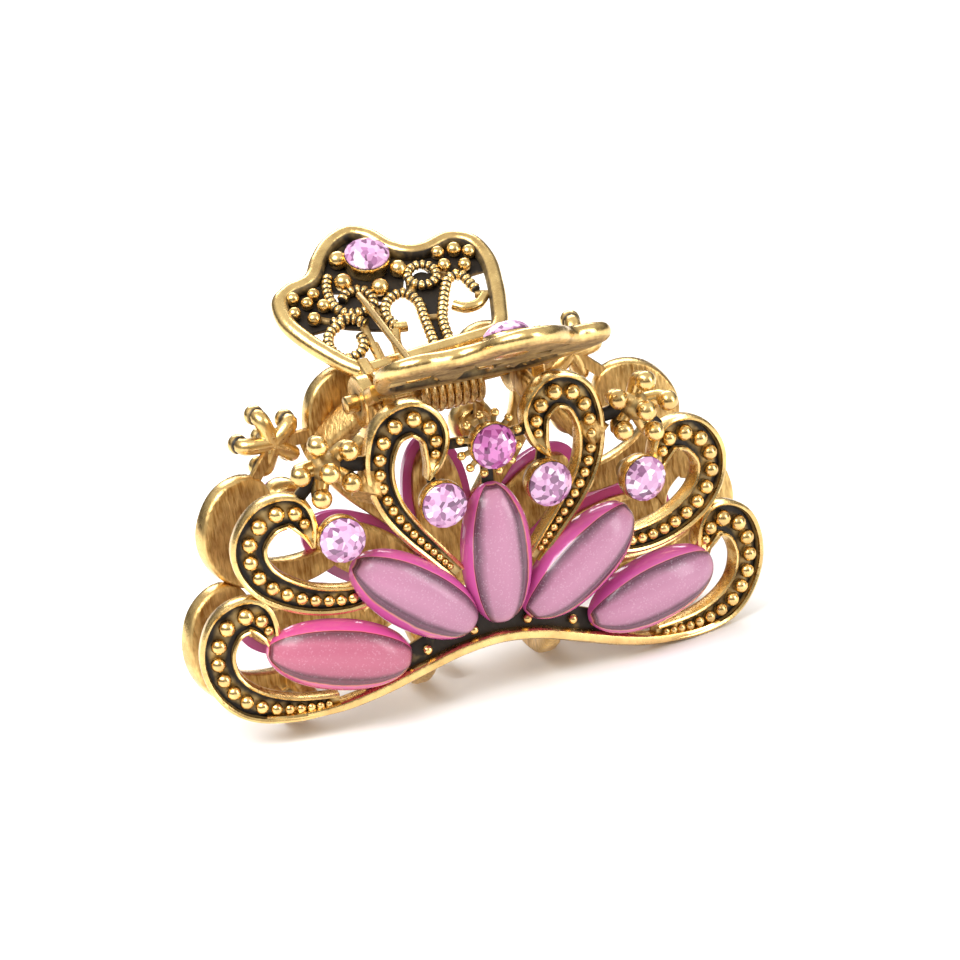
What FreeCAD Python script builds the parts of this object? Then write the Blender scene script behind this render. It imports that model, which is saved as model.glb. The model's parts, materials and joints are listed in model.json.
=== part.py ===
# Spring-hinged hair claw: two die-cast jaws on one pin, set with petal cabochons and round stones.
# Frame: X along the hinge pin, Z up, origin on the ground below the pin. The front jaw faces -Y.
# Both jaws are the same casting. The rear one is the front one turned half a turn about Z.
# The face and the lever sit a few degrees askew of the pin, so the two jaws lean opposite ways across it.
import FreeCAD, Part
import math
import os

os.makedirs("parts", exist_ok=True)

V = FreeCAD.Vector
X_AXIS = V(1, 0, 0)
Y_AXIS = V(0, 1, 0)
Z_AXIS = V(0, 0, 1)
ORIGIN = V(0, 0, 0)

# ---- driving dimensions, millimetres ----
HINGE_HEIGHT = 28.65
FOOT_TO_PIN = 28.0            # pin above the zero of the face outlines
SKEW = 3.0                    # degrees that face and lever are turned about Y on their ears
JAW_SHIFT = 0.45              # face and lever are this far to the right of the middle of the pin
LEVER_ANGLE = 25.6            # each lever rises this much above level
FACE_RADIUS = 110.0           # the jaw face is a slice of an upright cylinder
FACE_FRONT = 8.7              # how far the middle of the face stands in front of the pin
SCROLL_DEPTH = 1.8            # thickness of the scroll bands
WEB_DEPTH = 1.1               # thickness of the thinner web behind the stones
PETAL_HEIGHT = 3.3
PETAL_BLUNT = 0.15            # cut off each tip
SEAT_LENGTH = 0.86            # the leaf of metal behind a petal, as a share of the petal
SEAT_WIDTH = 0.74
STONE_RADIUS = 2.15
STONE_TABLE = 1.15
STONE_CROWN = 0.85
STONE_PAVILION = 1.5
CUP_WALL = 0.3
STONE_STANDOFF = 2.2          # web face to stone girdle
BALL_RADIUS = 0.95
BALL_STEM_RADIUS = 0.55
FLOWER_HUB_RADIUS = 1.0
FLOWER_PAD_RADIUS = 2.0
MIDDLE_BALL_LIFT = 2.2        # ball centres in front of the flower's hub
OUTER_BALL_LIFT = 1.2
PIN_RADIUS = 0.85
PIN_HALF_LENGTH = 10.2
PIN_CHAMFER = 0.15
EAR_RADIUS = 2.5
EAR_THICKNESS = 1.3
OUTER_EAR_X = 8.25            # middle of the ear that each jaw has at its left end
INNER_EAR_X = 6.55            # middle of the ear at its right end, inside the other jaw's
ARM_X = 11.7                  # where each hinge arm meets the back of the face
ARM_HALF_WIDTH = 1.4
ARM_ROOT_Y = -7.7
SHANK_END_Y = -3.3            # the arm is straight as far as this, to pass the other jaw's ear
LINK_LENGTH = 4.4             # stub that joins each ear to the lever
LINK_DEPTH = 1.9
FIXED_CLEARANCE = 0.02        # pin in the rear jaw
RUNNING_CLEARANCE = 0.05      # pin in the front jaw
WIRE_RADIUS = 0.375
COIL_RADIUS = 2.3
COIL_HALF_LENGTH = 3.1
COIL_TURNS = 8
LEG_DIP = 5.5                 # degrees that a spring leg leans towards its lever
LEG_LENGTH = 12.5
TOOTH_THICKNESS = 1.8
TOOTH_FIRST_X = -20.5
TOOTH_PITCH = 12.5
TOOTH_COUNT = 4
TOOTH_DIP = 0.5               # middle of a prong at its lowest, as a share of the height of its root
TOOTH_LOW = 0.9               # and never lower than this
TOOTH_ROOT_OUTSIDE_RIM = 1.9  # foot height where the bottom rim has run into the scroll
FIT_GAP = 0.03                # between a set stone and its seat
RELIEF_STEP = 0.05            # a scroll's raised part is this much narrower each side

FACE_AXIS_Y = FACE_RADIUS - FACE_FRONT
WEB_RADIUS = FACE_RADIUS - SCROLL_DEPTH + WEB_DEPTH

# Outlines on the jaw face: x, z and half-width along the middle of each band, right-hand side.
BOTTOM_SCROLL = [(21.7, 7.5, 0.3), (21.7, 9.3, 0.8), (23.2, 11.3, 1.7), (25.6, 10.4, 1.75),
                 (26.7, 7.6, 1.65), (26.0, 4.7, 1.6), (23.8, 2.6, 1.6), (20.2, 1.7, 1.25), (16.0, 1.75, 0.9)]
MIDDLE_SCROLL = [(17.3, 17.4, 0.3), (17.4, 18.8, 0.75), (18.8, 20.7, 1.6), (21.2, 20.4, 1.75),
                 (22.9, 18.2, 1.7), (22.8, 15.8, 1.65), (21.2, 13.7, 1.6), (18.0, 12.1, 1.45),
                 (14.4, 11.6, 1.3), (11.0, 12.2, 1.1)]
TOP_SCROLL = [(5.8, 22.0, 0.3), (5.1, 23.6, 0.8), (5.1, 26.1, 1.5), (6.9, 27.8, 1.75), (9.2, 27.1, 1.7),
              (10.3, 24.8, 1.5), (10.4, 22.2, 1.35), (9.6, 19.6, 1.25), (7.9, 17.0, 1.15), (5.6, 14.3, 1.0),
              (3.8, 12.2, 0.9)]
BOTTOM_RIM = [(-16.0, 1.6), (-12.0, 2.5), (-8.0, 3.7), (-4.0, 4.8), (0.0, 5.3), (4.0, 4.8), (8.0, 3.7),
              (12.0, 2.5), (16.0, 1.6)]
RIM_HALF_WIDTH = 0.7

# Half outline of a petal: distance from its middle along it, and half-width.
PETAL_PROFILE = [(7.1, 0.0), (6.75, 0.95), (5.9, 1.75), (4.2, 2.6), (2.2, 3.2), (0.0, 3.4)]

# Petals: x, z and the angle of the long axis; stones: x, z.
PETALS = {"centre_petal": (0.0, 13.5, 90.0), "inner_petal_right": (8.2, 11.0, 36.0),
          "inner_petal_left": (-8.2, 11.0, 144.0), "outer_petal_right": (15.6, 6.4, 11.5),
          "outer_petal_left": (-15.6, 6.4, 168.5)}
STONES = {"top_stone": (0.0, 24.4), "inner_stone_right": (5.05, 19.7), "inner_stone_left": (-5.05, 19.7),
          "outer_stone_right": (14.5, 18.0), "outer_stone_left": (-14.5, 18.0)}
FLOWER = (15.4, 24.5)
FLOWER_SPREAD = 2.65
FLOWER_TURN = 3               # degrees from level to the first outer ball

# Struts of the web, each from x, z to x, z with a half-width. They are mirrored too.
STRUTS = [((0.0, 5.0), (0.0, 13.5), 1.6), ((3.5, 4.6), (8.2, 11.0), 1.5), ((10.0, 3.1), (15.6, 6.4), 1.5),
          ((15.6, 6.4), (21.6, 7.6), 0.8), ((0.0, 18.5), (0.0, 24.4), 1.0), ((0.0, 24.4), (4.8, 24.6), 0.8),
          ((5.05, 19.7), (5.7, 22.3), 0.6), ((14.5, 18.0), (17.6, 18.2), 0.7),
          ((15.4, 24.5), (18.6, 21.2), 0.7),
          ((15.4, 24.5), (10.5, 24.0), 0.9), ((8.2, 11.0), (14.0, 12.0), 1.0)]

# Lever outline: x and distance from the pin, seen from above on the rear lever.
LEVER_OUTLINE = [(-6.2, 3.3), (-7.6, 4.6), (-8.8, 6.7), (-10.1, 9.5), (-11.0, 12.7), (-10.5, 16.0),
                 (-8.6, 17.5), (-6.4, 18.0), (-4.9, 20.0), (-2.8, 22.0), (-0.1, 22.8), (2.1, 21.4),
                 (3.4, 19.0), (5.2, 17.8), (8.4, 18.3), (10.8, 16.7), (11.4, 13.4), (10.6, 9.5), (9.6, 6.5),
                 (8.7, 4.4), (7.3, 3.3), (4.0, 3.2), (0.5, 3.2), (-3.0, 3.2)]
LEVER_RIM_WIDTH = 1.6
LEVER_RIM_DEPTH = 1.7
LEVER_WEB_DEPTH = 0.7
LEVER_STONE = (-0.1, 17.4)
LEVER_HOLES = [(-8.3, 10.1, 1.3), (-5.8, 8.8, 1.0), (-2.4, 9.2, 1.2), (2.2, 8.5, 1.2), (6.4, 8.6, 1.2),
               (9.1, 11.4, 0.9), (1.1, 12.0, 0.8), (5.8, 11.8, 0.9), (-5.1, 14.1, 0.6)]
LEVER_BALLS = [(-8.9, 15.6), (-7.4, 14.8), (-6.2, 15.7), (-6.1, 13.6), (-9.0, 13.4), (-7.5, 12.6),
               (6.9, 16.6), (8.5, 16.0), (9.7, 15.0), (6.9, 14.6), (8.6, 14.0)]
LEVER_BALL_RADIUS = 0.7
STONE_SIDE_BALLS = [(-2.7, 19.7), (-3.1, 16.6), (0.1, 14.4), (2.6, 16.4)]
LEVER_BALL_SINK = 0.4         # ball centres above the web


def mirrored(outline):
    """The left-hand copy of a right-hand outline."""
    return [(-point[0],) + tuple(point[1:]) for point in outline]


def half_turn(shape):
    """The same piece on the other jaw."""
    copy = shape.copy()
    copy.rotate(ORIGIN, Z_AXIS, 180)
    return copy


def askew(shape):
    """Turn a front face or lever on its ears and move it along the pin."""
    shape.rotate(V(0, 0, HINGE_HEIGHT), Y_AXIS, SKEW)
    shape.translate(V(JAW_SHIFT, 0, 0))
    return shape


def hang(shape):
    """Bring a piece made on the upright face to its place below the pin."""
    shape.translate(V(0, 0, HINGE_HEIGHT - FOOT_TO_PIN))
    return askew(shape)


def spline(points, closed=False):
    curve = Part.BSplineCurve()
    curve.interpolate(Points=points, PeriodicFlag=closed)
    return curve.toShape()


def side_points(outline, side, closed=False):
    """Points of one edge of a band, square to its middle line."""
    edge = []
    count = len(outline)
    for index, (a, b, half_width) in enumerate(outline):
        before = outline[(index - 1) % count] if closed or index > 0 else outline[index]
        after = outline[(index + 1) % count] if closed or index < count - 1 else outline[index]
        along = math.hypot(after[0] - before[0], after[1] - before[1])
        shift = side * half_width / along
        edge.append((a - (after[1] - before[1]) * shift, b + (after[0] - before[0]) * shift))
    return edge


def band_face(outline, place):
    """A band of changing width. place turns its two coordinates into a point."""
    left = [place(a, b) for a, b in side_points(outline, 1)]
    right = [place(a, b) for a, b in side_points(outline, -1)]
    ends = [Part.makeLine(left[-1], right[-1]), Part.makeLine(right[0], left[0])]
    edges = [spline(left), spline(right)] + ends
    return Part.Face(Part.Wire(Part.__sortEdges__(edges)))


def on_face(a, b):
    return V(a, 0, b)


def on_lever(a, b):
    return V(a, b, 0)


def face_prism(face):
    """A face outline pushed through the whole depth of the jaw face."""
    return face.extrude(V(0, -3 * FACE_FRONT, 0))


def face_shell(outer_radius, inner_radius=FACE_RADIUS - SCROLL_DEPTH):
    """The curved sheet that the jaw face is cut from."""
    height = 2 * HINGE_HEIGHT
    base = V(0, FACE_AXIS_Y, -height / 4)
    return Part.makeCylinder(outer_radius, height, base).cut(Part.makeCylinder(inner_radius, height, base))


def face_y(x, radius=FACE_RADIUS):
    """Y of the jaw face at x."""
    return FACE_AXIS_Y - math.sqrt(radius ** 2 - x ** 2)


def stand_on_face(shape, x, z, angle, lift):
    """Turn a piece made face-up on XY so that it stands on the web at x, z, its own X at angle."""
    shape.rotate(ORIGIN, Z_AXIS, angle)
    shape.rotate(ORIGIN, X_AXIS, 90)
    shape.rotate(ORIGIN, Z_AXIS, math.degrees(math.asin(x / WEB_RADIUS)))
    outward = V(x, face_y(x, WEB_RADIUS) - FACE_AXIS_Y, 0).normalize()
    shape.translate(V(x, face_y(x, WEB_RADIUS), z) + outward * lift)
    return shape


def petal(margin=0.0):
    """A long drop, round across, with blunt ends and a flat back, long axis on X."""
    right = [V(a + margin * a / PETAL_PROFILE[0][0], b + margin * b / PETAL_PROFILE[-1][1], 0)
             for a, b in PETAL_PROFILE]
    left = [V(-point.x, point.y, 0) for point in reversed(right[:-1])]
    axis = Part.makeLine(left[-1], right[0])
    drop = Part.Face(Part.Wire([spline(right + left), axis])).revolve(ORIGIN, X_AXIS, 360)
    drop = Part.Solid(Part.Shell(drop.Faces)) if drop.ShapeType != "Solid" else drop
    half_length = right[0].x - PETAL_BLUNT
    half_width = right[-1].y + 1
    keep = Part.makeBox(2 * half_length, 2 * half_width, PETAL_HEIGHT, V(-half_length, -half_width, 0))
    return drop.common(keep)


def stone(margin=0.0):
    """A round point-backed stone with its girdle on XY."""
    radius = STONE_RADIUS + margin
    profile = [V(0, 0, -STONE_PAVILION - margin), V(radius, 0, -0.1), V(radius, 0, 0.1),
               V(STONE_TABLE, 0, STONE_CROWN), V(0, 0, STONE_CROWN)]
    return Part.Face(Part.makePolygon(profile + profile[:1])).revolve(ORIGIN, Z_AXIS, 360)


def stone_cup(depth):
    """The metal cup that holds a stone: its rim is level with the girdle."""
    cup = Part.makeCylinder(STONE_RADIUS + CUP_WALL, depth, V(0, 0, -depth))
    return cup.cut(stone(FIT_GAP))


def disc(x, z, radius):
    return Part.Face(Part.Wire(Part.makeCircle(radius, V(x, 0, z), Y_AXIS)))


def strut(start, end, half_width):
    """A straight web bar with round ends."""
    bar = band_face([start + (half_width,), end + (half_width,)], on_face)
    return [bar, disc(start[0], start[1], half_width), disc(end[0], end[1], half_width)]


def petal_seat(x, z, angle):
    """Leaf of the web behind a petal."""
    half = [V(a * SEAT_LENGTH, 0, b * SEAT_WIDTH) for a, b in PETAL_PROFILE]
    upper = half + [V(-point.x, 0, point.z) for point in reversed(half[:-1])]
    lower = [V(point.x, 0, -point.z) for point in upper]
    leaf = Part.Face(Part.Wire(Part.__sortEdges__([spline(upper), spline(lower)])))
    leaf.rotate(ORIGIN, Y_AXIS, -angle)
    leaf.translate(V(x, 0, z))
    return leaf


def jaw_face():
    """Openwork front of a jaw: one thin sheet, with the scrolls and the rim standing proud of it."""
    outlines = [[(a, b, RIM_HALF_WIDTH) for a, b in BOTTOM_RIM]]
    for outline in (BOTTOM_SCROLL, MIDDLE_SCROLL, TOP_SCROLL):
        outlines += [outline, mirrored(outline)]
    flat = [band_face(outline, on_face) for outline in outlines]
    for start, end, half_width in STRUTS:
        flat += strut(start, end, half_width)
        if start[0] != 0 or end[0] != 0:
            flat += strut((-start[0], start[1]), (-end[0], end[1]), half_width)
    for x, z in STONES.values():
        flat.append(disc(x, z, STONE_RADIUS + 2 * CUP_WALL))
    for x, z, angle in PETALS.values():
        flat.append(petal_seat(x, z, angle))
    for side in (-1, 1):
        flat.append(disc(side * FLOWER[0], FLOWER[1], FLOWER_PAD_RADIUS))
    flat = flat[0].multiFuse(flat[1:]).removeSplitter()
    sheet_shell = face_shell(WEB_RADIUS)
    sheet = [face_prism(face).common(sheet_shell) for face in flat.Faces]
    relief_shell = face_shell(FACE_RADIUS, WEB_RADIUS - 0.2)
    relief = []
    for outline in outlines:
        narrowed = [(a, b, half_width - RELIEF_STEP) for a, b, half_width in outline]
        relief.append(face_prism(band_face(narrowed, on_face)).common(relief_shell))
    body = sheet[0]
    for piece in sheet[1:] + relief:
        body = body.fuse(piece)
    return body


def flower(side):
    """A six-ball flower: one ball in the middle and five on stems round it."""
    hub = V(side * FLOWER[0], face_y(FLOWER[0], WEB_RADIUS) + 0.3, FLOWER[1])
    middle = hub + V(0, -MIDDLE_BALL_LIFT, 0)
    pieces = [Part.makeCylinder(FLOWER_HUB_RADIUS, MIDDLE_BALL_LIFT, hub, -Y_AXIS),
              Part.makeSphere(BALL_RADIUS, middle)]
    for index in range(5):
        angle = math.radians(FLOWER_TURN + 72 * index)
        out = V(side * math.cos(angle), 0, math.sin(angle))
        ball = hub + out * FLOWER_SPREAD + V(0, -OUTER_BALL_LIFT, 0)
        pieces.append(Part.makeSphere(BALL_RADIUS, ball))
        pieces.append(Part.makeCylinder(BALL_STEM_RADIUS, (ball - hub).Length, hub, ball - hub))
    return pieces


def foot(x):
    """Height of the foot of the face above the ground at x, with the face hung askew."""
    lean = math.sin(math.radians(SKEW))
    face_x = x - JAW_SHIFT + FOOT_TO_PIN * lean
    height = TOOTH_ROOT_OUTSIDE_RIM
    for (a, za), (b, zb) in zip(BOTTOM_RIM, BOTTOM_RIM[1:]):
        if a <= face_x <= b:
            height = za + (zb - za) * (face_x - a) / (b - a)
    return height - (x - JAW_SHIFT) * lean + HINGE_HEIGHT - FOOT_TO_PIN


def tooth(x):
    """One prong: it hooks inwards past the middle. Those outside the arch of the foot reach the ground."""
    root_z = foot(x)
    root_y = face_y(x) + SCROLL_DEPTH / 2
    low_z = max(TOOTH_LOW, root_z * TOOTH_DIP)
    outline = [(root_y, root_z + 0.3, 0.8), (root_y + 1.3, (root_z + low_z) / 2, 0.9),
               (root_y + 3.4, low_z, 0.85), (-1.0, low_z - 0.2, 0.7), (1.8, low_z + 0.55, 0.45)]
    profile = band_face(outline, lambda a, b: V(x - TOOTH_THICKNESS / 2, a, b))
    prong = profile.extrude(V(TOOTH_THICKNESS, 0, 0))
    above_ground = Part.makeBox(TOOTH_THICKNESS + 2, 4 * FACE_FRONT, HINGE_HEIGHT,
                                V(x - TOOTH_THICKNESS / 2 - 1, -2 * FACE_FRONT, 0))
    return prong.common(above_ground)


def box_loft(y0, x0, z0, y1, x1, z1):
    """A bar between two upright rectangles, each given by its y and its x and z ranges."""
    wires = []
    for y, (xa, xb), (za, zb) in ((y0, x0, z0), (y1, x1, z1)):
        corners = [V(xa, y, za), V(xb, y, za), V(xb, y, zb), V(xa, y, zb)]
        wires.append(Part.makePolygon(corners + corners[:1]))
    return Part.makeLoft(wires, True, True)


def hinge_arm(ear_x, side, bore):
    """Ear round the pin, the arm from it down to the back of the face, and the stub up to the lever."""
    half = EAR_THICKNESS / 2
    ear = Part.makeCylinder(EAR_RADIUS, EAR_THICKNESS, V(ear_x - half, 0, HINGE_HEIGHT), X_AXIS)
    ear_span = (ear_x - half + 0.01, ear_x + half - 0.01)
    arm_span = (side * ARM_X - ARM_HALF_WIDTH, side * ARM_X + ARM_HALF_WIDTH)
    top = (HINGE_HEIGHT - 1.8, HINGE_HEIGHT + 1.0)
    bend = (HINGE_HEIGHT - 2.6, HINGE_HEIGHT + 0.2)
    root = (HINGE_HEIGHT - 8.2, HINGE_HEIGHT - 4.8)
    shank = box_loft(-0.9, ear_span, top, SHANK_END_Y, ear_span, bend)
    arm = box_loft(SHANK_END_Y, ear_span, bend, ARM_ROOT_Y, arm_span, root)
    corner = V(ear_span[0], 0, -LINK_DEPTH / 2)
    link = Part.makeBox(ear_span[1] - ear_span[0], LINK_LENGTH, LINK_DEPTH, corner)
    link.rotate(ORIGIN, X_AXIS, LEVER_ANGLE)
    link.translate(V(0, 0, HINGE_HEIGHT))
    link.rotate(V(ear_x, 0, 0), Z_AXIS, 180)
    return ear.multiFuse([shank, arm, link]).cut(bore)


def lever():
    """Trefoil thumb lever, made flat with the pin on its X axis, then tilted up behind the pin."""
    outer = [on_lever(a, b) for a, b in LEVER_OUTLINE]
    ring = [(a, b, LEVER_RIM_WIDTH) for a, b in LEVER_OUTLINE]
    inner = [on_lever(a, b) for a, b in side_points(ring, -1, closed=True)]
    outer_face = Part.Face(Part.Wire([spline(outer, closed=True)]))
    inner_face = Part.Face(Part.Wire([spline(inner, closed=True)]))
    lift = V(0, 0, LEVER_RIM_DEPTH)
    low = V(0, 0, -LEVER_RIM_DEPTH / 2)
    rim = outer_face.extrude(lift).cut(inner_face.extrude(lift))
    rim.translate(low)
    web = outer_face.extrude(V(0, 0, LEVER_WEB_DEPTH))
    web.translate(low)
    for a, b, radius in LEVER_HOLES:
        web = web.cut(Part.makeCylinder(radius, 2, V(a, b, -1)))
    pieces = [rim, web]
    web_top = -LEVER_RIM_DEPTH / 2 + LEVER_WEB_DEPTH
    for a, b in LEVER_BALLS:
        pieces.append(Part.makeSphere(LEVER_BALL_RADIUS, V(a, b, web_top + LEVER_BALL_SINK)))
    for a, b in STONE_SIDE_BALLS:
        pieces.append(Part.makeSphere(BALL_RADIUS, V(a, b, web_top + LEVER_BALL_SINK)))
    cup = stone_cup(STONE_PAVILION + 0.4)
    cup.translate(V(LEVER_STONE[0], LEVER_STONE[1], lever_stone_height()))
    whole = pieces[0].multiFuse(pieces[1:])
    well = stone(FIT_GAP)
    well.translate(V(LEVER_STONE[0], LEVER_STONE[1], lever_stone_height()))
    return tilt(whole.fuse(cup).cut(well))


def lever_stone_height():
    """Girdle height above the middle of the lever."""
    return -LEVER_RIM_DEPTH / 2 + LEVER_WEB_DEPTH + STONE_PAVILION


def tilt(shape):
    """Lay a flat lever piece on the rear lever's slope."""
    shape.rotate(ORIGIN, X_AXIS, LEVER_ANGLE)
    shape.translate(V(0, 0, HINGE_HEIGHT))
    return shape


def set_face():
    """Jaw face with its flowers and stone cups, hollowed where petals and stones sit, and the teeth."""
    pieces = []
    for side in (-1, 1):
        pieces += flower(side)
    for x, z in STONES.values():
        pieces.append(stand_on_face(stone_cup(STONE_STANDOFF + 0.4), x, z, 0, STONE_STANDOFF))
    body = jaw_face().multiFuse(pieces)
    for x, z, angle in PETALS.values():
        body = body.cut(stand_on_face(petal(FIT_GAP), x, z, angle, 0))
    for x, z in STONES.values():
        body = body.cut(stand_on_face(stone(FIT_GAP), x, z, 0, STONE_STANDOFF))
    teeth = [tooth(TOOTH_FIRST_X + TOOTH_PITCH * index) for index in range(TOOTH_COUNT)]
    return hang(body).multiFuse(teeth)


def casting(face, clearance):
    """One whole jaw in the front position. Its ears are bored with this clearance on the pin."""
    base = V(-2 * PIN_HALF_LENGTH, 0, HINGE_HEIGHT)
    bore = Part.makeCylinder(PIN_RADIUS + clearance, 4 * PIN_HALF_LENGTH, base, X_AXIS)
    hinge = [hinge_arm(-OUTER_EAR_X, -1, bore), hinge_arm(INNER_EAR_X, 1, bore)]
    return face.fuse(askew(half_turn(lever()))).fuse(hinge[0]).fuse(hinge[1])


def hinge_pin():
    """Plain pin with a small chamfer at each end."""
    pin = Part.makeCylinder(PIN_RADIUS, 2 * PIN_HALF_LENGTH, V(-PIN_HALF_LENGTH, 0, HINGE_HEIGHT), X_AXIS)
    ends = [edge for edge in pin.Edges if abs(abs(edge.CenterOfMass.x) - PIN_HALF_LENGTH) < 0.01]
    return pin.makeChamfer(PIN_CHAMFER, ends)


def torsion_spring():
    """Coil round the pin with a straight leg lying on each lever."""
    leg_angle = LEVER_ANGLE - LEG_DIP
    start_angle = 90 + leg_angle
    turns = COIL_TURNS - 2 * leg_angle / 360
    pitch = 2 * COIL_HALF_LENGTH / turns
    coil = Part.makeHelix(pitch, 2 * COIL_HALF_LENGTH, COIL_RADIUS)
    turned = FreeCAD.Matrix(0, 0, 1, -COIL_HALF_LENGTH, 1, 0, 0, 0, 0, 1, 0, 0, 0, 0, 0, 1)
    coil = coil.transformGeometry(turned)
    coil.rotate(ORIGIN, X_AXIS, start_angle)
    start = coil.Edges[0].valueAt(coil.Edges[0].FirstParameter)
    end = coil.Edges[-1].valueAt(coil.Edges[-1].LastParameter)
    if start.x > end.x:
        start, end = end, start
    slope = pitch / (2 * math.pi * COIL_RADIUS)
    leg = V(-slope, math.cos(math.radians(leg_angle)), math.sin(math.radians(leg_angle))) * LEG_LENGTH
    front_leg = V(-leg.x, -leg.y, leg.z)
    path = Part.Wire([Part.makeLine(start + leg, start)] + coil.Edges + [Part.makeLine(end, end + front_leg)])
    section = Part.Wire(Part.makeCircle(WIRE_RADIUS, start + leg, leg))
    spring = path.makePipeShell([section], True, True)
    spring.translate(V(0, 0, HINGE_HEIGHT))
    return spring


def save(shape, node):
    if len(shape.Solids) != 1 or not shape.isValid():
        print("CHECK", node, "solids", len(shape.Solids), "valid", shape.isValid())
    shape.exportStep("parts/" + node + ".step")
    print(node, "volume %.2f mm3" % shape.Volume)


jaw_front = set_face()
save(casting(jaw_front, RUNNING_CLEARANCE), "front_jaw_casting")
save(half_turn(casting(jaw_front, FIXED_CLEARANCE)), "rear_jaw_casting")
save(hinge_pin(), "hinge_pin")
save(torsion_spring(), "torsion_spring")
for name, (x, z, angle) in PETALS.items():
    piece = hang(stand_on_face(petal(), x, z, angle, 0))
    save(piece, "front_" + name)
    save(half_turn(piece), "rear_" + name)
for name, (x, z) in STONES.items():
    piece = hang(stand_on_face(stone(), x, z, 0, STONE_STANDOFF))
    save(piece, "front_" + name)
    save(half_turn(piece), "rear_" + name)
lever_stone = stone()
lever_stone.translate(V(LEVER_STONE[0], LEVER_STONE[1], lever_stone_height()))
lever_stone = askew(half_turn(tilt(lever_stone)))
save(lever_stone, "front_lever_stone")
save(half_turn(lever_stone), "rear_lever_stone")
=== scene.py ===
import bmesh
import bpy
import json
import math
import random
from mathutils import Matrix, Vector
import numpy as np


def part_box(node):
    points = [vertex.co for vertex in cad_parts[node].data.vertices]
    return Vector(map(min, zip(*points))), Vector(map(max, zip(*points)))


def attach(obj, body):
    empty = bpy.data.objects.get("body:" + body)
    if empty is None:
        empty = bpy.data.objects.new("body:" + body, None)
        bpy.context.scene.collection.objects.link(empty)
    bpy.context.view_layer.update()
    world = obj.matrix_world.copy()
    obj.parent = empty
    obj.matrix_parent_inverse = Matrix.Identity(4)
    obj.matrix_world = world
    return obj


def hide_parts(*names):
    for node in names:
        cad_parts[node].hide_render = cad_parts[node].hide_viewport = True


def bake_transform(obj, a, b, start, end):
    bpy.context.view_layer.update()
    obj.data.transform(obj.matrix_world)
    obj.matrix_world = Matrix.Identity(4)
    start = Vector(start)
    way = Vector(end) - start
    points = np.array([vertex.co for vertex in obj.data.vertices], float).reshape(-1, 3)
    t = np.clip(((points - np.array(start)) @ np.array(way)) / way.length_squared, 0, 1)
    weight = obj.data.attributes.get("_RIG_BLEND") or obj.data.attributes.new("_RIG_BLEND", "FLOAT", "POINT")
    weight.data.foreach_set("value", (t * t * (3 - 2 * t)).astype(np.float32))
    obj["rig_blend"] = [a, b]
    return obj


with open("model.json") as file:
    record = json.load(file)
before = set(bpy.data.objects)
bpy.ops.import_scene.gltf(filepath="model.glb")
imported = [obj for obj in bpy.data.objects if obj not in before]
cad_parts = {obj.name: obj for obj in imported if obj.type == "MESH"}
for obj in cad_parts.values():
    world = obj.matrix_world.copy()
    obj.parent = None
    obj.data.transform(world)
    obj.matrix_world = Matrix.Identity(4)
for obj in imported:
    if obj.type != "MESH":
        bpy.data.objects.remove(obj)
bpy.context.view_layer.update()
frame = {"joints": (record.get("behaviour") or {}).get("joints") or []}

# ---- Camera and studio ----
# A long lens looks down on the clip from the front left and is rolled a few degrees.
# The clip stands on a white table under a big softbox, with pale walls all round.
MM = 0.001
AZIMUTH = math.radians(-19.213)
ELEVATION = math.radians(20.367)
ROLL = math.radians(-7.473)
CAMERA_DISTANCE = 529.71 * MM
AIM_RIGHT = -0.39 * MM
AIM_UP = 17.42 * MM
SENSOR = 36.0
LENS = 210.65

back = Vector((math.sin(AZIMUTH) * math.cos(ELEVATION), -math.cos(AZIMUTH) * math.cos(ELEVATION), math.sin(ELEVATION)))
level_right = Vector((math.cos(AZIMUTH), math.sin(AZIMUTH), 0))
level_up = back.cross(level_right)
right = level_right * math.cos(ROLL) + level_up * math.sin(ROLL)
up = level_up * math.cos(ROLL) - level_right * math.sin(ROLL)
camera_data = bpy.data.cameras.new("camera")
camera_data.lens = LENS
camera_data.sensor_width = SENSOR
camera_data.clip_end = 10
camera = bpy.data.objects.new("camera", camera_data)
turn = Matrix((right, up, back)).transposed().to_4x4()
camera.matrix_world = Matrix.Translation(right * AIM_RIGHT + up * AIM_UP + back * CAMERA_DISTANCE) @ turn
bpy.context.scene.collection.objects.link(camera)
bpy.context.scene.camera = camera


def add_node(tree, kind, **inputs):
    """A shader node with these inputs set, or linked where the value is another node's socket."""
    node = tree.nodes.new("ShaderNode" + kind)
    for key, value in inputs.items():
        socket = node.inputs[int(key[1:])] if key[0] == "i" and key[1:].isdigit() else node.inputs[key.replace("_", " ")]
        if isinstance(value, bpy.types.NodeSocket):
            tree.links.new(value, socket)
        else:
            socket.default_value = value
    return node


def softbox(name, size, power, place, aim, colour=(1, 1, 1)):
    data = bpy.data.lights.new(name, "AREA")
    data.shape = "RECTANGLE"
    data.size, data.size_y = size
    data.energy = power
    data.color = colour
    lamp = bpy.data.objects.new(name, data)
    lamp.location = place
    lamp.rotation_euler = (Vector(aim) - Vector(place)).to_track_quat("-Z", "Y").to_euler()
    bpy.context.scene.collection.objects.link(lamp)


softbox("key_softbox", (0.30, 0.22), 2.0, (-0.22, -0.10, 0.34), (0, 0, 0.02))
softbox("back_softbox", (0.34, 0.16), 1.0, (0.10, 0.34, 0.26), (0, 0, 0.02))
softbox("front_strip", (0.14, 0.30), 0.9, (0.30, -0.28, 0.16), (0, 0, 0.02))

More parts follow.
